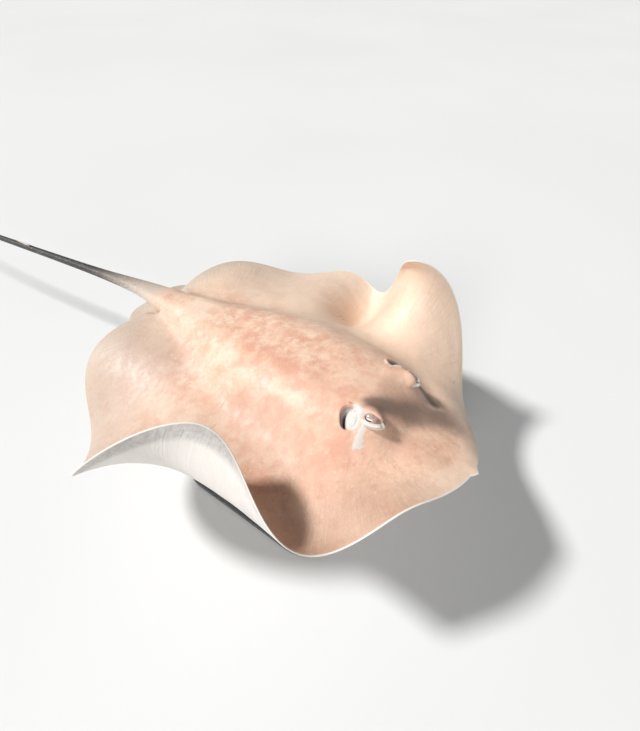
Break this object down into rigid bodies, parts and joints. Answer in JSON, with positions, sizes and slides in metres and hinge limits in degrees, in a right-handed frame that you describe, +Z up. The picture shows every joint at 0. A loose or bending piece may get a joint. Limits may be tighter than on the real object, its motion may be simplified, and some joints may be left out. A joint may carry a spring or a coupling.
{
  "type": "stingray display model",
  "caption": "Life-size swimming pink whipray with rolled wing-like fins, long whip tail and low eyes, held over a flat display base by short rods.",
  "frame": {"origin": "middle of the stand base's underside, on the floor", "axes": "+Z up, the animal heads towards -Y with its tail towards +Y, and its left side is +X"},
  "size_m": [1.1235, 2.9468, 0.626],
  "materials": {
    "skin": "moist smooth skin, pinkish tan with cream mottling above, white below",
    "tail_skin": "dark speckled smooth skin",
    "sting": "bone-like, finely toothed",
    "eye": "wet gloss, grey-pink iris and dark crescent pupil",
    "base_paint": "fine-grained satin charcoal paint",
    "rod_steel": "turned and brushed"
  },
  "bodies": {
    "root": {"head": "skin", "trunk": "skin", "pectoral_fin_left": "skin", "pectoral_fin_right": "skin", "pelvic_fin_left": "skin", "pelvic_fin_right": "skin", "tail_root": "skin", "tail_middle": "tail_skin", "tail_whip": "tail_skin", "tail_sting": "sting", "eye_left": "eye", "eye_right": "eye", "stand_base": "base_paint", "stand_rod_front": "rod_steel", "stand_rod_rear": "rod_steel"}
  },
  "joints": []
}
